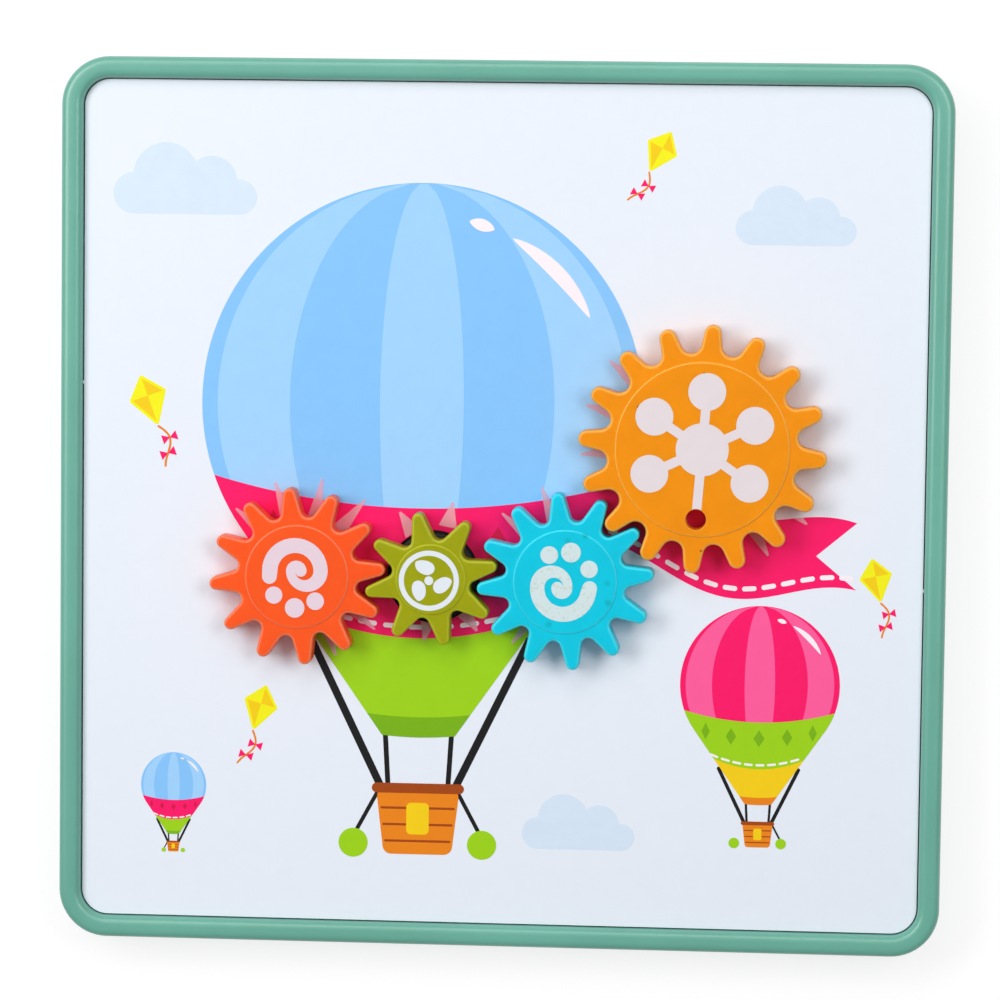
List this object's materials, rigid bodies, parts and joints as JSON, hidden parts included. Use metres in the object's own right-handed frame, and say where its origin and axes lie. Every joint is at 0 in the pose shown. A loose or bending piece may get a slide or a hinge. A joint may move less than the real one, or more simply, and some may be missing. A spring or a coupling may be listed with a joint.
{
  "type": "gear puzzle",
  "caption": "Flat square board in a rounded frame with a picture card and meshing lift-out gears that turn together on pegs.",
  "frame": {"origin": "middle of the back, on the surface that the board lies on", "axes": "+Z out of the picture side, +Y up in the picture, +X to the picture's right"},
  "size_m": [0.265, 0.265, 0.0241],
  "materials": {
    "frame_green": "satin moulded plastic, sage green",
    "board_black": "matt moulded plastic, near black",
    "card_print": "printed and varnished paperboard",
    "screw_steel": "plated steel",
    "gear_coral": "satin moulded plastic, coral, with white print",
    "gear_olive": "satin moulded plastic, olive, with white print",
    "gear_cyan": "satin moulded plastic, cyan, with white print",
    "gear_orange": "satin moulded plastic, orange, with white print"
  },
  "bodies": {
    "tray": {"outer_frame": "frame_green", "back_cover": "board_black", "peg_board": "board_black", "back_screw_1": "screw_steel", "back_screw_2": "screw_steel", "back_screw_3": "screw_steel", "back_screw_4": "screw_steel", "back_screw_5": "screw_steel", "back_screw_6": "screw_steel", "back_screw_7": "screw_steel", "back_screw_8": "screw_steel", "back_screw_9": "screw_steel"},
    "card": {"picture_card": "card_print"},
    "coral_peg": {"coral_axle_peg": "board_black"},
    "olive_peg": {"olive_axle_peg": "board_black"},
    "cyan_peg": {"cyan_axle_peg": "board_black"},
    "orange_peg": {"orange_axle_peg": "board_black"},
    "coral_wheel": {"coral_gear": "gear_coral"},
    "olive_wheel": {"olive_gear": "gear_olive"},
    "cyan_wheel": {"cyan_gear": "gear_cyan"},
    "orange_wheel": {"orange_gear": "gear_orange"}
  },
  "joints": [
    {"name": "card_lift", "type": "slide", "parent": "tray", "child": "card", "axis": [0, 0, 1], "range_m": [0, 0.03]},
    {"name": "coral_peg_lift", "type": "slide", "parent": "card", "child": "coral_peg", "axis": [0, 0, 1], "range_m": [0, 0.025]},
    {"name": "olive_peg_lift", "type": "slide", "parent": "card", "child": "olive_peg", "axis": [0, 0, 1], "range_m": [0, 0.025]},
    {"name": "cyan_peg_lift", "type": "slide", "parent": "card", "child": "cyan_peg", "axis": [0, 0, 1], "range_m": [0, 0.025]},
    {"name": "orange_peg_lift", "type": "slide", "parent": "card", "child": "orange_peg", "axis": [0, 0, 1], "range_m": [0, 0.025]},
    {"name": "orange_spin", "type": "hinge", "parent": "orange_peg", "child": "orange_wheel", "pos_m": [0.06, 0.0187, 0.0188], "axis": [0, 0, 1], "continuous": true},
    {"name": "cyan_spin", "type": "hinge", "parent": "cyan_peg", "child": "cyan_wheel", "pos_m": [0.02, -0.0213, 0.0188], "axis": [0, 0, 1], "continuous": true},
    {"name": "olive_spin", "type": "hinge", "parent": "olive_peg", "child": "olive_wheel", "pos_m": [-0.02, -0.0213, 0.0188], "axis": [0, 0, 1], "continuous": true},
    {"name": "coral_spin", "type": "hinge", "parent": "coral_peg", "child": "coral_wheel", "pos_m": [-0.06, -0.0213, 0.0188], "axis": [0, 0, 1], "continuous": true}
  ],
  "couplings": [
    {"joint": "cyan_spin", "follows": "orange_spin", "ratio": -1.3333},
    {"joint": "olive_spin", "follows": "orange_spin", "ratio": 2},
    {"joint": "coral_spin", "follows": "orange_spin", "ratio": -1.3333}
  ]
}
